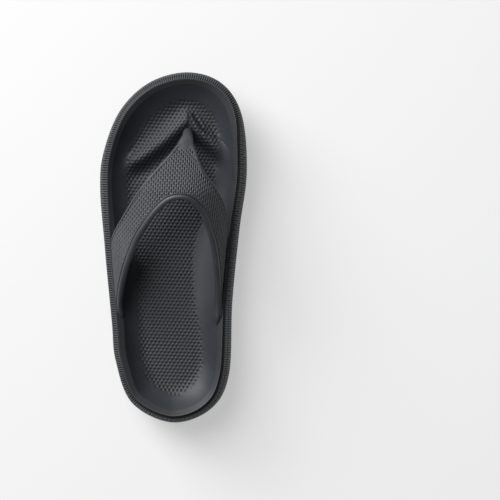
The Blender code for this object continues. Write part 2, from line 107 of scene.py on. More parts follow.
# Edges of the strap, as (share of the turn from the ridge to the rim, Y).
THROAT_OUTER = [(0, -40), (0.05, -39.5), (0.1, -38), (0.148, -35.5), (0.248, -27), (0.338, -17.2),
                (0.425, -7.5), (0.5, 2.4), (0.588, 13.5), (0.69, 25), (0.8, 36), (1, 52)]
THROAT_INNER = [(0, -40), (0.06, -39.6), (0.1, -39), (0.165, -37.3), (0.247, -33.8), (0.325, -29.6),
                (0.397, -24), (0.47, -17.5), (0.593, -5.8), (0.703, 7.5), (0.8, 20), (0.9, 35), (1, 52)]
FRONT_OUTER = [(0, -79.8), (0.055, -79.3), (0.09, -75.2), (0.135, -69.8), (0.242, -58), (0.347, -47.6),
               (0.468, -34.4), (0.552, -26), (0.64, -19), (0.75, -12.4), (1, -1)]
FRONT_INNER = [(0, -79.8), (0.08, -79.3), (0.12, -76), (0.167, -69.5), (0.27, -59), (0.395, -51.4),
               (0.522, -44), (0.682, -34.8), (0.8, -27), (1, -10.4)]
PIPING_RADIUS, PIPING_TAIL, TAIL_SINK, LEG_SINK = 2.35, 8.0, 5.0, 3.5
POST_X, POST_Y = -10.5, -90.0
# Levels of the post: X, Y and Z from its foot, lean in degrees, half width and half depth.
POST_LEVELS = [(0, 0, -4.0, 0, 6.5, 6.5), (0, 0, -0.5, 0, 5.4, 5.4), (0, 0, 1.6, 0, 4.5, 4.5),
               (0, 0.1, 4.5, -2, 3.9, 4.1), (0, 0.5, 9.0, -6, 3.6, 4.0), (0, 1.2, 14.0, -10, 3.5, 4.0),
               (-0.2, 2.2, 19.0, -16, 3.8, 3.9), (-0.3, 3.5, 24.0, -24, 4.1, 3.8),
               (-0.1, 5.1, 28.4, -33, 4.7, 3.5), (0.4, 7.1, 32.0, -42, 5.4, 3.0)]
# Levels of its neck, inside the strap's front: Y, half width and half depth, and lean.
NECK_Y = np.array([-79.2, -77.0, -74.0])
NECK_SIZES = [(6.1, 2.4), (6.9, 2.15), (7.5, 1.8)]
NECK_LEAN = -52
# Rounded front of the strap's relief, behind the plain neck.
TONGUE_X, TONGUE_Y, TONGUE_HALF_WIDTH, TONGUE_DEPTH = -8.6, -76.9, 8.0, 6.5

# ---- surface detail, mm ----
KNOT_LIFT = 0.1              # the lands between dashes stand this proud
KNOT_SHINE = 0.25            # painted highlight: the lands are this much lighter
COLUMN_PITCH = 1.80          # spacing of the rows of dashes in the woven-look relief
DASH_PITCH = 5.6
WALL_ROWS = 54               # rows of the wall's mesh, bottom to top
WALL_DEPTH = 0.85
WORN_SHARE, WORN_HEIGHT = 0.45, (20, 32)    # dashes run together up the wall
DEEPER_HEIGHT = (26, 34)     # and get deeper
# Step from the wall's shoulder up to the lip, as (distance back from the relief's end, drop).
STEP = [(2.7, 2.1), (2.2, 2.0), (1.7, 1.7), (1.2, 1.2), (0.8, 0.7), (0.4, 0.25), (0.0, 0.0)]
NOTCH_START, NOTCH_END, NOTCH_DEPTH = 0.45, 4.4, 1.5     # deep notches across the foot of that step
STRAP_COLUMN_PITCH, STRAP_DASH_PITCH, LEG_DASH_PITCH = 1.6, 4.1, 3.2
LEG_SHARE = 0.6              # share of a steep leg's length that counts for the columns
STRAP_DEPTH, STRAP_RECESS = 0.85, 0.4
DASH_START_Y = -60           # the strap's dashes are counted both ways from here
LEG_FADE = 0.45              # share of the relief's painted shade and highlight that fades on the outer leg
MARGIN_SHADE, EDGE_SHADE = 0.3, 0.5     # painted shade on the strap's plain margin and rounded edge
DASH_EDGES = [0.22, 0.33, 0.67, 0.78]   # a dash's edges and floor, as shares of a column
DASH_DEPTHS = [0.0, 1.0, 1.0, 0.0]
LEDGE, LEDGE_LIFT, FIRST_DASH = 1.0, 0.35, 5.4    # smooth ledge at the foot, then a level row
# Smooth rolled lip: share of the way from the relief to the lip's end, and drop below the rim height.
LIP_PROFILE = [(0.05, 0.05), (0.12, 0.18), (0.22, 0.45), (0.36, 0.9), (0.54, 1.5), (0.74, 2.15),
               (0.94, 2.7), (1.0, 2.95)]
LIP_SHADE_START, LIP_SHADE = 0.25, 0.68     # painted shade: the lip darkens to the footbed's tone
CELL_X, CELL_Y = 3.0, 2.6    # hexagonal dimples of the footbed
DIMPLE_RADIUS, DIMPLE_FLOOR, DIMPLE_DEPTH = 1.15, 0.5, 0.9
TEETH = 150
TOOTH_DEPTH = 1.1
# Rows of the tread from its top to the pad: inset, height, and how far a valley between teeth
# goes further in and further up.
TREAD_LEVELS = [(3.0, OUTSOLE_THICKNESS), (0.4, OUTSOLE_THICKNESS), (0.0, OUTSOLE_THICKNESS - 0.5),
                (0.0, 2.6), (0.1, 2.2, 0.7), (0.15, 1.3, TOOTH_DEPTH, 0.2),
                (0.5, 0.35, TOOTH_DEPTH, 0.8), (1.3, 0.0, TOOTH_DEPTH, 1.3),
                (4.5, 0.0, 0.0, 1.5), (7.0, 0.0, 0.0, 1.5), (7.4, 1.5), (9.0, 1.5)]
RIB_PITCH, GROOVE_DEPTH = 5.0, 1.5
RIB_EDGES = (-1.6, -1.25, 1.25, 1.6)    # mesh lines on both sides of a rib

# ---- mesh sizes ----
FACE_STEPS, EDGE_STEPS, INNER_STEPS = 180, 7, 20     # rows of the strap across its width
POST_SIDES = 48
FOOTBED_COUNT, COARSE_COUNT = 704, 176               # points round the outline
CUP_RINGS = (0.35, 0.8, 1.35, 2.0, 2.8, 3.7, 4.8, 6.1, 7.6, 9.3)     # insets from the edge
CUP_RINGS_WIDTH = 10.2                               # and where other mesh points begin
PLAIN_X, PLAIN_Y = 1.3, 1.15                         # spacing of the smooth part's points
DIMPLE_BATCH = 200                                   # dimples looked at together


# ---- numbers ----
def curve_of(stations):
    """A smooth function through (place, value) stations, without overshoot, for arrays."""
    xs, ys = np.array(stations, float).T
    width = np.diff(xs)
    secant = np.diff(ys) / width
    slope = np.empty_like(xs)
    slope[0], slope[-1] = secant[0], secant[-1]
    before, after = secant[:-1], secant[1:]
    total = np.where(before * after > 0, before + after, 1)
    slope[1:-1] = np.where(before * after > 0, 2 * before * after / total, 0)

    def value(place):
        """The curve's height at a place."""
        place = np.clip(np.asarray(place, float), xs[0], xs[-1])
        k = np.clip(np.searchsorted(xs, place, side="right") - 1, 0, len(width) - 1)
        u = (place - xs[k]) / width[k]
        return ((2 * u ** 3 - 3 * u ** 2 + 1) * ys[k] + (u ** 3 - 2 * u ** 2 + u) * width[k] * slope[k]
                + (3 * u ** 2 - 2 * u ** 3) * ys[k + 1] + (u ** 3 - u ** 2) * width[k] * slope[k + 1])
    return value


def curve_rows(rows, steps):
    """Rows of numbers read smoothly, with a number of steps between given rows."""
    rows = np.array(rows, float)
    at = np.arange(len(rows))
    fine = np.linspace(0, len(rows) - 1, steps * (len(rows) - 1) + 1)
    return np.column_stack([curve_of(list(zip(at, rows[:, k])))(fine) for k in range(rows.shape[1])])


def ease(low, high, value):
    """0 below low, 1 above high and a smooth step between, for arrays."""
    u = np.clip((np.asarray(value, float) - low) / (high - low), 0, 1)
    return u * u * (3 - 2 * u)


def closed_spline(points, steps):
    """Points on a smooth closed curve through the given points, as an array."""
    knots = [Vector((x, y, 0)) for x, y in points]
    count = len(knots)
    curve = []
    for i in range(count):
        before, start = knots[i - 1], knots[i]
        end, after = knots[(i + 1) % count], knots[(i + 2) % count]
        curve += interpolate_bezier(start, start + (end - before) / 6, end - (after - start) / 6,
                                    end, steps + 1)[:-1]
    return np.array([p.xy for p in curve])


def read_loop(loop, shares):
    """The closed loop read at shares of its length."""
    closed = np.vstack([loop, loop[:1]])
    reach = np.concatenate([[0], np.cumsum(np.linalg.norm(np.diff(closed, axis=0), axis=1))])
    at = reach[-1] * np.asarray(shares)
    return np.stack([np.interp(at, reach, closed[:, k]) for k in (0, 1)], axis=1)


def evenly_spaced(loop, count):
    """The closed loop read at equal steps of its length."""
    return read_loop(loop, np.arange(count) / count)


def dash_shares(columns):
    """Shares of a length for the four mesh lines of each column of dashes."""
    return (np.arange(columns)[:, None] + np.array(DASH_EDGES)).ravel() / columns


sole_rise, rim_height, bed_height = curve_of(SOLE_RISE), curve_of(RIM_HEIGHT), curve_of(BED_HEIGHT)
relief_end_outer, relief_end_inner = curve_of(RELIEF_END_OUTER), curve_of(RELIEF_END_INNER)
strap_ridge, strap_centre = curve_of(STRAP_RIDGE), curve_of(STRAP_CENTRE)
front_outer, front_inner = curve_of(FRONT_OUTER), curve_of(FRONT_INNER)
throat_outer, throat_inner = curve_of(THROAT_OUTER), curve_of(THROAT_INNER)


# ---- plan of the sole ----
def outline_loop():
    """The widest outline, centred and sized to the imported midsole."""
    loop = closed_spline(OUTLINE, 60)
    low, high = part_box("midsole")
    low, high = np.array(low)[:2] / MM, np.array(high)[:2] / MM
    size = (high - low) / (loop.max(0) - loop.min(0))
    return (loop - loop.min(0)) * size + low


FINE_LOOP = outline_loop()


def side_x(y, side):
    """X of the widest outline at y, on the outer (side 1) or inner (side -1) side."""
    top, bottom = np.argmin(FINE_LOOP[:, 1]), np.argmax(FINE_LOOP[:, 1])
    count = len(FINE_LOOP)
    step = 1 if FINE_LOOP[(top + 5) % count, 0] * side > FINE_LOOP[top, 0] * side else -1
    length = (bottom - top) * step % count
    path = FINE_LOOP[(top + step * np.arange(length + 1)) % count]
    return np.interp(y, path[:, 1], path[:, 0])


def spine_of(points):
    """The spine point that each outline point is inset towards."""
    return np.stack([np.full(len(points), SPINE_X),
                     np.clip(points[:, 1], SPINE_TOE_Y, SPINE_HEEL_Y)], axis=1)


def inset_points(loop, inset):
    """The loop moved in towards the spine; inset is a number or one number a point."""
    spine = spine_of(loop)
    reach = np.linalg.norm(spine - loop, axis=1)
    return loop + (spine - loop) * (np.broadcast_to(inset, reach.shape) / reach)[:, None]


def flat_ring(loop, inset, height):
    """The outline moved in by an inset, at a height for each point."""
    return np.column_stack([inset_points(loop, inset), height])


def end_inset(points, spine_y, toe):
    """Inset of points beyond an end of the spine, and the Y where their ray meets the outline."""
    centre = np.array([SPINE_X, spine_y])
    near = FINE_LOOP[FINE_LOOP[:, 1] < spine_y] if toe else FINE_LOOP[FINE_LOOP[:, 1] > spine_y]
    sign = -1 if toe else 1
    rim_angle = np.arctan2(near[:, 0] - centre[0], sign * (near[:, 1] - centre[1]))
    order = np.argsort(rim_angle)
    radius = np.linalg.norm(near - centre, axis=1)
    angle = np.arctan2(points[:, 0] - centre[0], sign * (points[:, 1] - centre[1]))
    reach = np.interp(angle, rim_angle[order], radius[order])
    inset = reach - np.linalg.norm(points - centre, axis=1)
    return inset, centre[1] + sign * reach * np.cos(angle)


def inset_of(points):
    """For points inside the outline: their inset, and the Y of the outline point they belong to."""
    y = points[:, 1]
    side = np.where(points[:, 0] >= SPINE_X, 1, -1)
    wide = np.where(side > 0, side_x(y, 1), side_x(y, -1))
    inset, rim_y = side * (wide - points[:, 0]), y.copy()
    for spine_y, toe in ((SPINE_TOE_Y, True), (SPINE_HEEL_Y, False)):
        beyond = y < spine_y if toe else y > spine_y
        if beyond.any():
            inset[beyond], rim_y[beyond] = end_inset(points[beyond], spine_y, toe)
    return inset, rim_y


def toe_weight(y):
    """1 at the toe end and 0 along the sides."""
    return 1 - ease(-130, -92, y)


def heel_weight(y):
    """1 at the heel end and 0 along the sides."""
    return ease(88, 128, y)


def under_inset(loop):
    """Inset of the wall's foot, where it meets the tread, for points of the outline."""
    return (UNDER_INSET_SIDE + (UNDER_INSET_TOE - UNDER_INSET_SIDE) * toe_weight(loop[:, 1])
            + (UNDER_INSET_HEEL - UNDER_INSET_SIDE) * heel_weight(loop[:, 1]))


def relief_end(loop):
    """Inset of the inner end of the wall's relief for points of the outline."""
    outer = ease(-14, 8, loop[:, 0])
    return outer * relief_end_outer(loop[:, 1]) + (1 - outer) * relief_end_inner(loop[:, 1])


def cup_width(inner_side, y):
    """Width of the footbed's cup wall beside the outline at y."""
    ends = np.maximum(toe_weight(y), heel_weight(y))
    width = CUP_WIDTH + (CUP_WIDTH_ENDS - CUP_WIDTH) * ends
    arch = ease(-50, 0, y) * (1 - ease(40, 90, y))
    return width + inner_side * (CUP_WIDTH_ARCH - CUP_WIDTH) * arch


# ---- meshes ----
def make_piece(name, points, faces, body, *nodes, relief=None):
    """A mesh object from millimetre points; it rides on a body and replaces CAD nodes.

    relief is one value a point, read by the materials as painted light: negative for a painted
    highlight on high spots and up to 1 for painted shade in hollows.
    """
    mesh = bpy.data.meshes.new(name)
    mesh.from_pydata((np.asarray(points) * MM).tolist(), [], faces)
    mesh.validate()
    if relief is not None:
        layer = mesh.attributes.new("relief", "FLOAT", "POINT")
        layer.data.foreach_set("value", np.asarray(relief, np.float32))
    mesh.shade_smooth()
    piece = bpy.data.objects.new(name, mesh)
    bpy.context.scene.collection.objects.link(piece)
    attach(piece, body)
    if nodes:
        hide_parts(*nodes)
    return piece


def ring_faces(rows, count):
    """Quads between consecutive closed rings of count points each."""
    along = np.arange(count)
    after = (along + 1) % count
    faces = []
    for row in range(rows - 1):
        low, high = row * count, (row + 1) * count
        faces.append(np.stack([low + along, low + after, high + after, high + along], axis=1))
    return np.vstack(faces).tolist()


def capped_rings(rows, count):
    """Faces of closed rings of count points stacked into a tube, with both ends capped."""
    last = (rows - 1) * count
    return ring_faces(rows, count) + [tuple(range(count))[::-1], tuple(range(last, last + count))]


def grid_normals(grid):
    """Outward normals of a grid of points: rows bottom to top, columns round."""
    along = np.roll(grid, -1, axis=1) - np.roll(grid, 1, axis=1)
    across = np.gradient(grid, axis=0)
    normal = np.cross(along, across)
    return normal / np.maximum(np.linalg.norm(normal, axis=2, keepdims=True), 1e-9)


def triangulated(outer, inner):
    """Delaunay triangles of the points inside a closed outer loop."""
    points = [Vector(p) for p in np.vstack([outer, inner])]
    count = len(outer)
    edges = [(i, (i + 1) % count) for i in range(count)]
    verts, _, faces, *_ = delaunay_2d_cdt(points, edges, [], 1, 1e-5)
    return np.array([tuple(v) for v in verts]), [tuple(f) for f in faces]


# ---- midsole ----
def dash_weight(column, phase):
    """Depth share of the woven-look relief in a column of dashes, at a phase of the pitch."""
    place = np.mod(phase + 0.5 * np.mod(column, 2), 1)
    return 1 - ease(0.30, 0.42, np.abs(place - 0.5))


def wall_inset(share, under, top):
    """Inset of the bulging wall at a share of its height: under it at the foot, top at the shoulder."""
    low = under * (1 - np.minimum(share, BULGE_SHARE) / BULGE_SHARE) ** 2
    rise = np.maximum(0, (share - BULGE_SHARE) / (1 - BULGE_SHARE))
    high = top * (1 - np.sqrt(1 - 0.98 * rise ** 2.4))
    return low + high


def wall_relief(height, column):
    """Dash depth and knot height at a distance up the wall: ledge, one level row, then bricks."""
    first = ease(LEDGE, LEDGE + 0.6, height) * (1 - ease(FIRST_DASH - 0.6, FIRST_DASH, height))
    phase = (height - FIRST_DASH) / DASH_PITCH + 0.1
    started = ease(FIRST_DASH + 0.4, FIRST_DASH + 1.0, height)
    bricks = dash_weight(column, phase)
    worn = WORN_SHARE * ease(*WORN_HEIGHT, height)
    dashes = 0.6 * first + started * (bricks + worn * (1 - bricks))
    return dashes, started * (1 - bricks) * (1 - worn)


def notch_relief(to_top, column):
    """Depth share of the deep notch that ends every column at the foot of the lip."""
    end = NOTCH_END + 0.7 * np.mod(column, 2)
    return ease(NOTCH_START - 0.5, NOTCH_START + 0.3, to_top) * (1 - ease(end - 0.9, end, to_top))


def groove_and_shade_share(loop):
    """How far the notches deepen towards one groove, and how far painted shade joins them into one dark
    band: mostly on the inner side and the heel, away from the light.
    """
    inner = 1 - ease(-16, 4, loop[:, 0])
    along = (0.35 + 0.25 * ease(-40, 10, loop[:, 1])) * ease(-115, -88, loop[:, 1])
    return 0.1 + np.maximum(along * inner, 0.5 * ease(85, 115, loop[:, 1]))


def wall_rows(loop, under, base, rim):
    """Plain rows of the wall: up the bulge to the shoulder, then over the step to the lip."""
    end = relief_end(loop)
    low = 1 - TOE_STEP_CUT * toe_weight(loop[:, 1])
    shoulder = rim - SHOULDER_DROP * low
    rows = [flat_ring(loop, wall_inset(share, under, end - SHOULDER_BACK),
                      base + (shoulder - base) * share) for share in np.linspace(0, 1, WALL_ROWS)]
    rows += [flat_ring(loop, end - back, rim - drop * low) for back, drop in STEP]
    return np.array(rows)


def carved_wall(loop, grid):
    """The wall's rows with the woven-look relief cut in, and the relief value of each point: painted shade
    in the dashes and notches, painted highlight on the knots and the ledge.
    """
    column = (np.arange(len(loop)) // 4)[None, :]
    across = np.array(DASH_DEPTHS)[np.arange(len(loop)) % 4][None, :]
    climb = np.cumsum(np.linalg.norm(np.diff(grid, axis=0), axis=2), axis=0)
    height = np.concatenate([np.zeros((1, len(loop))), climb])
    to_top = height[-1:] - height
    depth, knots = wall_relief(height, column)
    notch = notch_relief(to_top, column)
    groove = groove_and_shade_share(loop)[None, :]
    above = ease(NOTCH_END + 0.6, NOTCH_END + 1.4, to_top)
    cut = np.maximum(depth * above, notch * (0.7 + 0.4 * groove)) * across
    # painted shade: where the groove share is high the whole notch zone darkens as one band, also between
    # the notches
    weight = np.maximum(cut, groove * notch)
    ledge = LEDGE_LIFT * ease(0.0, 0.35, height) * (1 - ease(LEDGE - 0.3, LEDGE + 0.3, height))
    full = WALL_DEPTH * (1 + 0.35 * ease(*DEEPER_HEIGHT, height))
    full = full + (NOTCH_DEPTH - full) * (1 - ease(NOTCH_END - 1, NOTCH_END + 0.6, to_top))
    knots = knots * ease(NOTCH_END, NOTCH_END + 1, to_top)
    lift = ledge + KNOT_LIFT * knots - full * weight
    carved = grid + grid_normals(grid) * (lift * (height > 0))[:, :, None]
    # painted highlight on the knots and on the ledge at the foot
    return carved, weight - KNOT_SHINE * knots - KNOT_SHINE * (ledge > 0.1)


def make_midsole():
    """Foam carrier with the relief on its wall and shoulder, its ledge and its smooth rolled lip."""
    perimeter = np.linalg.norm(np.diff(FINE_LOOP, axis=0), axis=1).sum()
    columns = 2 * round(perimeter / COLUMN_PITCH / 2)
    loop = read_loop(FINE_LOOP, dash_shares(columns))
    under = under_inset(loop)
    base = sole_rise(inset_points(loop, under)[:, 1]) + OUTSOLE_THICKNESS + 0.1
    rim = rim_height(loop[:, 1])
    wall, relief = carved_wall(loop, wall_rows(loop, under, base, rim))
    foot = [flat_ring(loop, under + extra, base + up) for extra, up in WALL_FOOT]
    end = relief_end(loop)
    lip = [flat_ring(loop, end + (LIP_END - end) * share, rim - drop) for share, drop in LIP_PROFILE]
    inside = flat_ring(loop, LIP_END, bed_height(inset_points(loop, LIP_END)[:, 1]) - SOCKET_DEPTH)
    rows = foot + list(wall) + lip + [inside]
    values = np.zeros((len(rows), len(loop)))
    # painted shade: the step's top edge starts darker, and the lip darkens on towards the footbed's tone
    relief[-1] = np.maximum(relief[-1], LIP_SHADE_START)
    values[len(foot):len(foot) + len(wall)] = relief
    shares = np.array([share for share, _ in LIP_PROFILE])[:, None]
    values[-len(lip) - 1:-1] = LIP_SHADE * ease(-0.2, 0.3, shares)
    return make_piece("midsole_wall", np.vstack(rows), capped_rings(len(rows), len(loop)),
                      "root", "midsole", relief=values.ravel())


# ---- footbed ----
# Edge of the dimpled field: toe, outer side, heel, inner side.
FIELD = [(-8, -115), (10, -107.5), (24.5, -95), (33.5, -79), (37.3, -60), (36.5, -35), (30, -5), (27.2, 20),
         (24.5, 60), (21.8, 84), (15.5, 102.5), (-5, 114), (-21, 107), (-28, 90), (-27.5, 70), (-22, 42),
         (-19, 15), (-20.5, -5), (-30, -35), (-34.5, -65), (-33.5, -95), (-23, -110)]
# Toe crest: an inverted V whose point is just in front of the toe post.
CREST = [(43, -58), (37, -60.5), (24.7, -67.4), (16, -74), (6.3, -82), (-3, -91), (-10, -97.5),
         (-16, -92.5), (-22, -86.5), (-28, -81), (-37, -73.5), (-46, -66)]
CREST_TOP = -10              # X of the crest's point
CREST_RISE, CREST_HOLLOW = 5.5, 2.0
CREST_BACK_WIDTH, CREST_FRONT_WIDTH = 5.8, 7.0
CREASE = [(-12.8, -103.7), (-17.5, -97.5), (-21.3, -91.3), (-26.5, -87.5), (-32.3, -85.4), (-37.8, -82),
          (-42.4, -75.9), (-44.6, -67), (-45.4, -58), (-45, -50)]


def distance_to(path, points):
    """Distance to a polyline, signed positive towards the heel, and the share along it."""
    path = np.array(path, float)
    lengths = np.linalg.norm(np.diff(path, axis=0), axis=1)
    reach = np.concatenate([[0], np.cumsum(lengths)])
    best = np.full(len(points), 1e9)
    share = np.zeros(len(points))
    sign = np.ones(len(points))
    for k in range(len(path) - 1):
        start, run = path[k], path[k + 1] - path[k]
        u = np.clip(((points - start) @ run) / (run @ run), 0, 1)
        away = points - (start + u[:, None] * run)
        gap = np.linalg.norm(away, axis=1)
        closer = gap < best
        best = np.where(closer, gap, best)
        share = np.where(closer, (reach[k] + u * lengths[k]) / reach[-1], share)
        sign = np.where(closer, np.where(away[:, 1] >= 0, 1, -1), sign)
    return best * sign, share


def crest_height(points):
    """The toe crest: a rounded ridge with a steeper back and a hollow behind it."""
    gap, share = distance_to(CREST, points)
    outer_side = points[:, 0] > CREST_TOP
    strength = np.where(outer_side, 1.0, 0.8) * ease(0, 0.14, share) * (1 - ease(0.86, 1.0, share))
    width = np.where(gap > 0, CREST_BACK_WIDTH, CREST_FRONT_WIDTH)
    ridge = CREST_RISE * np.exp(-(gap / width) ** 2)
    hollow = CREST_HOLLOW * np.exp(-((gap - 10) / 6) ** 2)
    return strength * (ridge - hollow)


def crease_depth(points):
    """The fine crease that runs from in front of the post onto the inner cup wall."""
    gap, share = distance_to(CREASE, points)
    depth = 1.4 - 1.1 * ease(0.2, 0.4, share)
    width = 0.8 - 0.4 * ease(0.25, 0.4, share)
    ends = ease(0.0, 0.06, share) * (1 - ease(0.85, 1.0, share))
    return depth * ends * np.exp(-(gap / width) ** 2)


def footbed_height(points):
    """Top of the footbed without its dimples."""
    inset, rim_y = inset_of(points)
    inner_side = (points[:, 0] < SPINE_X).astype(float)
    u = np.clip((inset - FOOTBED_EDGE) / cup_width(inner_side, rim_y), 0, 1)
    bed = bed_height(points[:, 1])
    lip = rim_height(rim_y) - LIP_DROP
    level = bed + (lip - bed) * (1 - u) ** CUP_CURVE
    return level + crest_height(points) * ease(0.2, 0.9, u) - crease_depth(points)


def dimple_cells():
    """Centres of the dimples, and how deep each is, from 0 at the field's edge to 1."""
    xs = np.arange(-14, 15) * CELL_X
    centres = []
    for row in range(-46, 47):
        shift = CELL_X / 2 if row % 2 else 0
        centres.append(np.column_stack([xs + shift, np.full(len(xs), row * CELL_Y)]))
    centres = np.vstack(centres)
    field = closed_spline(FIELD, 12)
    gap, _ = distance_to(np.vstack([field, field[:1]]), centres)
    inside = inside_loop(centres, field)
    depth = np.where(inside, ease(0.3, 3.2, np.abs(gap)), 0)
    keep = depth > 0.02
    return centres[keep], depth[keep]


def inside_loop(points, loop):
    """Whether each point is inside a closed loop."""
    after = np.roll(loop, -1, axis=0)
    x, y = points[:, 0][:, None], points[:, 1][:, None]
    crosses = (loop[:, 1] > y) != (after[:, 1] > y)
    run = np.where(after[:, 1] == loop[:, 1], 1e-9, after[:, 1] - loop[:, 1])
    at = loop[:, 0] + (y - loop[:, 1]) / run * (after[:, 0] - loop[:, 0])
    return (crosses & (x < at)).sum(axis=1) % 2 == 1


def crease_points():
    """Mesh points beside the crease, close enough to carry it."""
    path = curve_rows([(*point,) for point in CREASE], 24)
    along = np.gradient(path, axis=0)
    side = np.column_stack([-along[:, 1], along[:, 0]]) / np.linalg.norm(along, axis=1)[:, None]
    return np.vstack([path + side * offset for offset in (-0.9, -0.35, 0, 0.35, 0.9)])


def dimple_spots(centres):
    """Mesh points of the dimples: centres, hexagons of floor and rim, and the lands between."""
    angles = np.arange(6) * math.pi / 3
    spots = [centres]
    for radius, turn in ((DIMPLE_FLOOR, 0.0), (DIMPLE_RADIUS, 0.0), (CELL_Y * 0.64, math.pi / 6)):
        for angle in angles + turn:
            spots.append(centres + radius * np.array([math.cos(angle), math.sin(angle)]))
    spots = np.unique(np.round(np.vstack(spots), 3), axis=0)
    inset, _ = inset_of(spots)
    return spots[inset > FOOTBED_EDGE + CUP_RINGS_WIDTH]


def plain_points():
    """Mesh points for the smooth part of the footbed, on a triangular lattice."""
    plain = []
    for row in range(-110, 111):
        shift = PLAIN_X / 2 if row % 2 else 0
        plain += [(x * PLAIN_X + shift, row * PLAIN_Y) for x in range(-38, 39)]
    plain = np.array(plain)
    edge = inset_points(evenly_spaced(FINE_LOOP, COARSE_COUNT), FOOTBED_EDGE + CUP_RINGS_WIDTH)
    plain = plain[inside_loop(plain, edge)]
    field = closed_spline(FIELD, 12)
    plain = plain[~inside_loop(plain, field)]
    gap, _ = distance_to(np.vstack([field, field[:1]]), plain)
    return plain[np.abs(gap) > 0.6]


def nearest_dimple(points, centres, depth):
    """Distance from each point to the nearest dimple centre, and the depth of that dimple."""
    gap = np.full(len(points), 9.0)
    cell_depth = np.zeros(len(points))
    for start in range(0, len(centres), DIMPLE_BATCH):
        part = centres[start:start + DIMPLE_BATCH]
        away = np.linalg.norm(points[:, None, :] - part[None, :, :], axis=2)
        nearest = away.argmin(axis=1)
        closest = away[np.arange(len(points)), nearest]
        better = closest < gap
        gap[better] = closest[better]
        cell_depth[better] = depth[start:start + DIMPLE_BATCH][nearest[better]]
    return gap, cell_depth


def make_footbed():
    """Footbed with its hexagon-dimpled field, toe crest and smooth cup wall."""
    count = FOOTBED_COUNT
    loop = evenly_spaced(FINE_LOOP, count)
    edge = inset_points(loop, FOOTBED_EDGE)
    rings = [inset_points(loop[k % 2::2], FOOTBED_EDGE + inset) for k, inset in enumerate(CUP_RINGS)]
    centres, depth = dimple_cells()
    within = rings + [plain_points(), dimple_spots(centres), crease_points()]
    flat, faces = triangulated(edge, np.vstack(within))
    gap, cell_depth = nearest_dimple(flat, centres, depth)
    weight = (1 - ease(DIMPLE_FLOOR + 0.01, DIMPLE_RADIUS - 0.01, gap)) * cell_depth
    top = np.column_stack([flat, footbed_height(flat) - DIMPLE_DEPTH * weight])
    below = np.column_stack([flat[:count], bed_height(flat[:count, 1]) - FOOTBED_SKIRT])
    total = len(top)
    sides = [(i, i + total, (i + 1) % count + total, (i + 1) % count) for i in range(count)]
    sides.append(tuple(total + i for i in range(count))[::-1])
    # Painted shade in the dimples and the crease; the dimpled field is also a little darker overall.
    field_share = cell_depth * (1 - ease(1.6, 2.4, gap))
    shade = np.maximum(0.2 * field_share + 0.55 * weight, np.minimum(1, crease_depth(flat) / 1.2))
    relief = np.concatenate([shade, np.zeros(count)])
    return make_piece("footbed_surface", np.vstack([top, below]), list(faces) + sides,
                      "root", "footbed", relief=relief)


# ---- strap ----
def strap_surface(turn, y):
    """Outer face of the strap; turn runs from -1 at the inner rim to 1 at the outer rim."""
    turn, y = np.broadcast_arrays(np.asarray(turn, float), np.asarray(y, float))
    centre = strap_centre(y)
    rim = np.where(turn >= 0, side_x(y, 1) - relief_end_outer(y) - 0.6,
                   side_x(y, -1) + relief_end_inner(y) + 1.0)
    angle = np.abs(turn) * math.pi / 2
    low, high = rim_height(y), strap_ridge(y)
    return np.stack([centre + (rim - centre) * np.sin(angle), y,
                     low + (high - low) * np.maximum(0, np.cos(angle)) ** ARCH_POWER], axis=-1)


def throat_y(turn):
    """Y of the strap's rear edge at a turn."""
    return np.where(turn >= 0, throat_outer(np.abs(turn)), throat_inner(np.abs(turn)))


def front_y(turn):
    """Y of the strap's front edge at a turn."""
    return np.where(turn >= 0, front_outer(np.abs(turn)), front_inner(np.abs(turn)))


def unit(vectors):
    """The vectors at length 1."""
    return vectors / np.maximum(np.linalg.norm(vectors, axis=-1, keepdims=True), 1e-9)


def strap_normal(turn, y):
    """Outward normal of the strap's outer face."""
    turn = np.clip(turn, -0.985, 0.985)
    along = strap_surface(turn + 0.01, y) - strap_surface(turn - 0.01, y)
    across = strap_surface(turn, y + 0.5) - strap_surface(turn, y - 0.5)
    return unit(np.cross(along, across))


def even_turns():
    """Turns along the arch: the four mesh lines of each column of dashes, and the ends.

    The columns are evenly spread in plan, and less so on the steep legs.
    """
    fine = np.linspace(-1, 1, 2001)
    section = strap_surface(fine, np.full(2001, -15.0))
    step = np.diff(section, axis=0)
    width = np.maximum(np.abs(step[:, 0]), LEG_SHARE * np.linalg.norm(step, axis=1))
    reach = np.concatenate([[0], np.cumsum(width)])
    columns = 2 * round(reach[-1] / STRAP_COLUMN_PITCH / 2)
    shares = np.concatenate([[0], dash_shares(columns), [1]])
    return np.interp(shares * reach[-1], reach, fine)


def slant(turns, edge_y):
    """How much longer the way along Y is than the way square to an edge of the strap."""
    run = np.gradient(strap_surface(turns, edge_y), axis=0)
    return np.clip(np.linalg.norm(run, axis=1) / np.linalg.norm(run[:, ::2], axis=1), 1, 5)


def texture_start(x):
    """Y where the strap's relief begins: a rounded tongue behind the plain neck."""
    aside = np.clip((x - TONGUE_X) / TONGUE_HALF_WIDTH, -1, 1)
    return TONGUE_Y + TONGUE_DEPTH * (1 - np.sqrt(1 - aside ** 2))


def between_edges(turns, share):
    """Turns and Ys at shares of the way from the throat edge to the front edge, a row a turn."""
    back, front = throat_y(turns), front_y(turns)
    y = back[:, None] + (front - back)[:, None] * share
    return np.repeat(turns[:, None], share.shape[1], axis=1), y


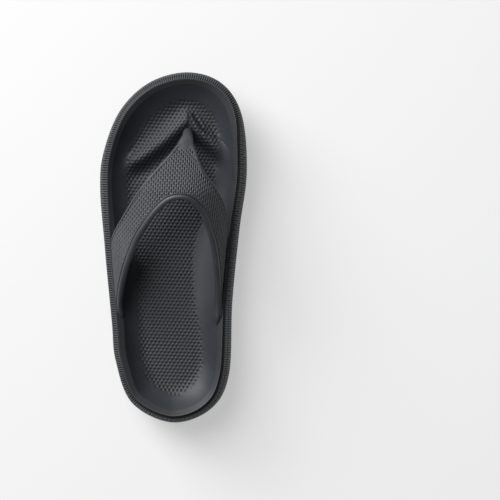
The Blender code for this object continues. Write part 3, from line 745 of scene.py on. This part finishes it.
def strap_dashes(turns, face, y):
    """Depth share of the dashes on the strap's face, counted both ways from one line across."""
    walked = np.cumsum(np.linalg.norm(np.diff(face, axis=1, prepend=face[:, :1]), axis=2), axis=1)
    start = np.abs(y - DASH_START_Y).argmin(axis=1)[:, None]
    walked = walked - np.take_along_axis(walked, start, axis=1)
    offset = np.take_along_axis(y, start, axis=1)
    pitch = STRAP_DASH_PITCH + (LEG_DASH_PITCH - STRAP_DASH_PITCH) * ease(0.15, 0.7, np.abs(turns))
    column = (np.arange(len(turns)) - 1) // 4
    return dash_weight(column[:, None], (walked - offset) / pitch[:, None])


def carved_face(turns, share, to_front, to_back):
    """The strap's outer face with its relief cut in, and the relief value of each point."""
    turn, y = between_edges(turns, share)
    face = strap_surface(turn, y)
    pulse = strap_dashes(turns, face, y)
    half = STRAP_THICKNESS / 2
    mask = (ease(half + 0.2, half + 0.9, to_front) * ease(0.7, 1.3, to_back)
            * ease(0.0, 1.0, y - texture_start(face[:, :, 0])))
    across = np.array(DASH_DEPTHS)[(np.arange(len(turns)) - 1) % 4][:, None]
    weight = pulse * across * mask
    knots = (1 - pulse) * mask
    cut = STRAP_DEPTH * weight - KNOT_LIFT * knots + STRAP_RECESS * mask
    # Painted shade in the dashes and as a dark line along the edge of the relief's recess, painted shade on
    # the plain margin, and a painted highlight on the knots; the dashes' shade and highlight fade on the
    # outer leg.
    faded = 1 - LEG_FADE * ease(0.28, 0.5, turns)[:, None]
    relief = (np.maximum(weight * faded, 2.4 * mask * (1 - mask)) - KNOT_SHINE * knots * faded
              + MARGIN_SHADE * (1 - mask))
    return face - strap_normal(turn, y) * cut[:, :, None], relief


def rounded_edge(turns, y):
    """Rows of points round the strap's front edge, from its outer face to its inner."""
    normal = strap_normal(turns, y)
    half = STRAP_THICKNESS / 2
    heart = strap_surface(turns, y) - normal * half
    ahead = unit(np.cross(normal, np.gradient(heart, axis=0)))
    ahead *= np.where(ahead[:, 1:2] > 0, -1, 1)
    angles = [math.pi * step / (EDGE_STEPS + 1) for step in range(1, EDGE_STEPS + 1)]
    return np.stack([heart + half * (math.cos(angle) * normal + math.sin(angle) * ahead)
                     for angle in angles], axis=1)


def tab_rows(row):
    """An end of the strap carried down inside the rim."""
    return [row - np.array([0, 0, drop]) for drop in TAB_DROPS]


def make_strap():
    """V strap: relief on its outer face, plain rounded margins, tabs inside the rim."""
    turns = even_turns()
    back, front = throat_y(turns), front_y(turns)
    length = np.maximum(front - back, back - front)
    front_slant, back_slant = slant(turns, front), slant(turns, back)
    start = (REAR_SETBACK / length)[:, None]
    end_share = 1 - np.minimum(STRAP_THICKNESS / 2 * front_slant / length, 0.6)
    end = end_share[:, None]
    share = start + (end - start) * np.linspace(0, 1, FACE_STEPS)
    outer, face_relief = carved_face(turns, share, (1 - share) * (length / front_slant)[:, None],
                                     share * (length / back_slant)[:, None])
    edge = rounded_edge(turns, back + (front - back) * end_share)
    turn, y = between_edges(turns, end + (start - end) * np.linspace(0, 1, INNER_STEPS))
    inner = strap_surface(turn, y) - strap_normal(turn, y) * STRAP_THICKNESS
    rows = np.concatenate([outer, edge, inner], axis=1)
    relief = np.zeros(rows.shape[:2])
    relief[:, :FACE_STEPS] = face_relief
    # painted shade on the rounded front edge, in place of the light it catches
    relief[:, FACE_STEPS:FACE_STEPS + EDGE_STEPS] = EDGE_SHADE
    rows = np.concatenate([np.array(tab_rows(rows[0])[::-1]), rows, np.array(tab_rows(rows[-1]))])
    tab_relief = np.zeros((len(TAB_DROPS), relief.shape[1]))
    relief = np.vstack([tab_relief, relief, tab_relief])
    return make_piece("strap_band", rows.reshape(-1, 3), capped_rings(*rows.shape[:2]),
                      "root", "strap", relief=relief.ravel())


def sweep(name, path, radii, sides, *nodes):
    """A round bar along a path, with one radius a point and flat ends."""
    path, radii = np.asarray(path, float), np.asarray(radii, float)
    ahead = unit(np.gradient(path, axis=0))
    side = np.empty_like(ahead)
    side[0] = (0, 0, 1)
    for k in range(len(path)):
        before = side[max(k - 1, 0)]
        side[k] = unit(before - ahead[k] * (before @ ahead[k]))
    other = np.cross(ahead, side)
    angle = np.linspace(0, 2 * math.pi, sides, endpoint=False)
    rows = (path[:, None] + radii[:, None, None] * (np.cos(angle)[None, :, None] * side[:, None]
            + np.sin(angle)[None, :, None] * other[:, None]))
    return make_piece(name, rows.reshape(-1, 3), capped_rings(len(path), sides), "root", *nodes)


def piping_path():
    """Middle line of the bead along the throat edge, with a tail down into the rim at both ends."""
    fine = np.linspace(-1, 1, 301)
    turns = np.sign(fine) * (1 - (1 - np.abs(fine)) ** 1.25)
    y = throat_y(turns)
    edge = strap_surface(turns, y)
    normal = strap_normal(turns, y)
    tangent = unit(np.gradient(edge, axis=0))
    rearward = unit(np.cross(normal, tangent))
    rearward *= np.where(rearward[:, 1] > 0, 1, -1)[:, None]
    sunk = 0.1 + 0.5 * ease(0.3, 0.7, np.abs(turns))
    path = edge - normal * (STRAP_THICKNESS / 2 + sunk[:, None]) + rearward * (PIPING_RADIUS - 0.5)
    path[:, 2] -= LEG_SINK * ease(0.7, 1.0, np.abs(turns))
    tail = np.linspace(0, PIPING_TAIL, 13)[1:, None]
    sink = np.array([0, 0, -1.0]) * (tail / PIPING_TAIL) ** 1.5 * TAIL_SINK
    first = path[0] + (unit(path[0] - path[4]) * tail + sink)[::-1]
    last = path[-1] + unit(path[-1] - path[-5]) * tail + sink
    return np.vstack([first, path, last])


def make_piping():
    """Round bead along the throat edge of the strap, kept clear of the lip at its ends."""
    path = piping_path()
    outer_side = path[:, 0] > strap_centre(path[:, 1])
    room = 1.6 + PIPING_RADIUS
    y = path[:, 1]
    path[:, 0] = np.where(outer_side,
                          np.minimum(path[:, 0], side_x(y, 1) - relief_end_outer(y) - room),
                          np.maximum(path[:, 0], side_x(y, -1) + relief_end_inner(y) + room))
    reach = np.minimum(np.arange(len(path)), np.arange(len(path))[::-1])
    radii = PIPING_RADIUS * (0.2 + 0.8 * np.sqrt(np.clip(reach / 16, 0, 1)))
    return sweep("strap_bead", path, radii, 20, "strap_piping")


def post_levels():
    """The post from its foot to its neck: centre, lean in degrees, half width and half depth."""
    x, y = POST_X, POST_Y + 2.4
    bed = float(footbed_height(np.array([[x, y]]))[0])
    levels = [(x + right, y + back, bed + up, *shape) for right, back, up, *shape in POST_LEVELS]
    middle = np.zeros(len(NECK_Y))
    neck = strap_surface(middle, NECK_Y) - strap_normal(middle, NECK_Y) * STRAP_THICKNESS / 2
    return levels + [(*place, NECK_LEAN, *size) for place, size in zip(neck, NECK_SIZES)]


def make_toe_post():
    """Smooth stalk: flared foot on the bed, round stem, and a neck that flattens into the strap."""
    angle = np.linspace(0, 2 * math.pi, POST_SIDES, endpoint=False)
    rows = []
    for x, y, z, lean, width, depth in curve_rows(post_levels(), 8):
        tilt = math.radians(lean)
        along = depth * np.sin(angle)
        rows.append(np.column_stack([x + width * np.cos(angle), y + along * math.cos(tilt),
                                     z + along * math.sin(tilt)]))
    return make_piece("toe_stalk", np.vstack(rows), capped_rings(len(rows), POST_SIDES),
                      "root", "toe_post")


# ---- outsole ----
def rib_points():
    """Mesh points on both sides of every groove between the cross ribs of the tread's pad."""
    ribs = []
    for rib in range(-24, 25):
        for offset in RIB_EDGES:
            ribs += [(x * 2.5, rib * RIB_PITCH + offset) for x in range(-22, 23)]
    ribs = np.array(ribs)
    loop = evenly_spaced(FINE_LOOP, COARSE_COUNT)
    return ribs[inside_loop(ribs, inset_points(loop, 0.1 + 10.6 + under_inset(loop)))]


def make_outsole():
    """Rubber tread: smooth side band, toothed lower edge, edge lugs and cross ribs below."""
    count = 8 * TEETH
    loop = evenly_spaced(FINE_LOOP, count)
    valley = 1 - ease(0.1, 0.9, 0.5 + 0.5 * np.cos(2 * math.pi * np.arange(count) / 8))
    edge = under_inset(loop) + 0.4

    def ring(inset, lift, notch_in=0.0, notch_up=0.0):
        """A row of the tread; its notches are deepest in the valleys between teeth."""
        place = inset_points(loop, edge + inset + notch_in * valley)
        return np.column_stack([place, sole_rise(place[:, 1]) + lift + notch_up * valley])

    rows = [ring(*level) for level in TREAD_LEVELS]
    flat, faces = triangulated(ring(9.4, 0.0)[:, :2], rib_points())
    from_rib = np.abs(np.mod(flat[:, 1] + RIB_PITCH / 2, RIB_PITCH) - RIB_PITCH / 2)
    in_groove = ease(1.35, 1.5, from_rib)
    in_groove[:count] = 0
    pad = np.column_stack([flat, sole_rise(flat[:, 1]) + GROOVE_DEPTH * in_groove])
    quads = [tuple(reversed(face)) for face in ring_faces(len(rows) + 1, count)]
    shift = len(rows) * count
    pad_faces = [tuple(shift + i for i in reversed(face)) for face in faces]
    cap = [tuple(range(count))]
    return make_piece("outsole_tread", np.vstack(rows + [pad]), quads + pad_faces + cap,
                      "root", "outsole")


# ---- materials ----
def node(tree, kind, **inputs):
    """A new shader node with the values of some of its inputs."""
    made = tree.nodes.new(kind)
    for key, value in inputs.items():
        made.inputs[key.replace("_", " ")].default_value = value
    return made


def ramp(tree, source, places, colours):
    """A value read through a ramp between two colours."""
    made = tree.nodes.new("ShaderNodeValToRGB")
    for element, place, colour in zip(made.color_ramp.elements, places, colours):
        element.position = place
        element.color = (*colour, 1)
    tree.links.new(source, made.inputs["Fac"])
    return made.outputs["Color"]


def multiplied(tree, first, second):
    """Two colours multiplied."""
    mixed = tree.nodes.new("ShaderNodeMix")
    mixed.data_type, mixed.blend_type = "RGBA", "MULTIPLY"
    mixed.inputs["Factor"].default_value = 1.0
    tree.links.new(first, mixed.inputs["A"])
    tree.links.new(second, mixed.inputs["B"])
    return mixed.outputs["Result"]


def ranged(tree, source, start, low, high):
    """A value mapped from between start and 1 to between low and high."""
    made = node(tree, "ShaderNodeMapRange", From_Min=start, To_Min=low, To_Max=high)
    tree.links.new(source, made.inputs["Value"])
    return made.outputs["Result"]


def foam(name, colour, roughness, pit_shade=0.45):
    """Matte moulded foam: cloudy tone, fine skin grain, painted shade in the hollows and a painted
    highlight on the high spots.
    """
    material = bpy.data.materials.new(name)
    material.use_nodes = True
    tree = material.node_tree
    shader = tree.nodes["Principled BSDF"]
    shader.inputs["Specular IOR Level"].default_value = 0.4
    coords = tree.nodes.new("ShaderNodeTexCoord")
    cloud = node(tree, "ShaderNodeTexNoise", Scale=38.0, Detail=4.0, Roughness=0.6)
    speck = node(tree, "ShaderNodeTexNoise", Scale=1400.0, Detail=3.0, Roughness=0.7)
    for texture in (cloud, speck):
        tree.links.new(coords.outputs["Object"], texture.inputs["Vector"])
    tones = ([c * 0.86 for c in colour], [c * 1.14 for c in colour])
    tone = ramp(tree, cloud.outputs["Fac"], (0.3, 0.72), tones)
    fleck = ramp(tree, speck.outputs["Fac"], (0.35, 0.7), ([0.82] * 3, [1.18] * 3))
    relief = tree.nodes.new("ShaderNodeAttribute")
    relief.attribute_name = "relief"
    # painted shade in hollows and painted highlight on high spots, from the relief value
    shade = ranged(tree, relief.outputs["Fac"], -KNOT_SHINE, 1.25, 1.0 - pit_shade)
    coloured = multiplied(tree, multiplied(tree, tone, fleck), shade)
    tree.links.new(coloured, shader.inputs["Base Color"])
    rough = ranged(tree, cloud.outputs["Fac"], 0.0, roughness - 0.07, roughness + 0.09)
    tree.links.new(rough, shader.inputs["Roughness"])
    bump = node(tree, "ShaderNodeBump", Strength=0.10, Distance=0.0003)
    tree.links.new(speck.outputs["Fac"], bump.inputs["Height"])
    tree.links.new(bump.outputs["Normal"], shader.inputs["Normal"])
    return material


def dress(piece, material):
    """Give a piece its one material."""
    piece.data.materials.clear()
    piece.data.materials.append(material)


# ---- stage ----
def make_stage():
    """Pale floor, two large soft lights from the upper left of the view, and a dim sky."""
    bpy.ops.mesh.primitive_plane_add(size=6)
    floor = bpy.context.object
    floor.name = "floor"
    floor.location.z = -0.0005
    paper = bpy.data.materials.new("floor_paper")
    paper.use_nodes = True
    shader = paper.node_tree.nodes["Principled BSDF"]
    shader.inputs["Base Color"].default_value = (FLOOR_TONE, FLOOR_TONE, FLOOR_TONE, 1)
    shader.inputs["Emission Color"].default_value = (1, 1, 1, 1)
    shader.inputs["Emission Strength"].default_value = FLOOR_GLOW
    shader.inputs["Roughness"].default_value = 0.9
    shader.inputs["Specular IOR Level"].default_value = 0.1
    floor.data.materials.append(paper)
    for name, place, size, power in LIGHTS:
        add_area(name, place, size, power)
    world = bpy.context.scene.world or bpy.data.worlds.new("World")
    bpy.context.scene.world = world
    world.use_nodes = True
    sky = world.node_tree.nodes.get("Background")
    sky.inputs["Color"].default_value = (0.97, 0.98, 1.0, 1)
    sky.inputs["Strength"].default_value = SKY_STRENGTH


def add_area(name, place, size, power):
    """A round soft light that points at the shoe."""
    light = bpy.data.lights.new(name, "AREA")
    light.shape = "DISK"
    light.size = size
    light.energy = power
    lamp = bpy.data.objects.new(name, light)
    bpy.context.scene.collection.objects.link(lamp)
    lamp.location = place
    lamp.rotation_euler = (Vector((0, 0, 0.03)) - Vector(place)).to_track_quat("-Z", "Y").to_euler()


def make_camera():
    """Straight down from high up; the toe points up the picture and leans a little right."""
    lean = math.radians(CAMERA_LEAN)
    data = bpy.data.cameras.new("camera")
    data.sensor_width = 36.0
    data.lens = data.sensor_width * CAMERA_DISTANCE / VIEW_WIDTH
    camera = bpy.data.objects.new("camera", data)
    bpy.context.scene.collection.objects.link(camera)
    up = Vector((math.sin(lean), -math.cos(lean), 0))
    back = Vector((0, 0, 1))
    right = up.cross(back)
    camera.location = (CAMERA_X, CAMERA_Y, VIEW_LEVEL + CAMERA_DISTANCE)
    camera.rotation_mode = "QUATERNION"
    matrix = camera.matrix_world.copy()
    for row in range(3):
        matrix[row][0], matrix[row][1], matrix[row][2] = right[row], up[row], back[row]
    camera.rotation_quaternion = matrix.to_quaternion()
    bpy.context.scene.camera = camera


# ---- assembly ----
def main():
    """Camera and stage, then every visible piece with its material; hidden pieces keep the CAD's mesh."""
    make_camera()
    make_stage()
    bpy.context.scene.view_settings.view_transform = "Standard"
    midsole, footbed, strap = make_midsole(), make_footbed(), make_strap()
    dress(midsole, foam("wall_foam", WALL_COLOUR, 0.58, pit_shade=0.6))
    dress(footbed, foam("bed_foam", BED_COLOUR, 0.52))
    dress(strap, foam("band_foam", BAND_COLOUR, 0.56, pit_shade=0.6))
    dress(make_piping(), foam("bead_foam", BEAD_COLOUR, 0.45))
    dress(make_toe_post(), foam("post_foam", POST_COLOUR, 0.5))
    dress(make_outsole(), foam("tread_rubber", TREAD_COLOUR, 0.66))
    hidden = foam("anchor_plastic_grey", HIDDEN_COLOUR, 0.45)
    for name in ("toe_post_washer", "outer_strap_anchor", "inner_strap_anchor"):
        anchor = bpy.data.objects[name]
        anchor.data.materials.clear()
        anchor.data.materials.append(hidden)


main()
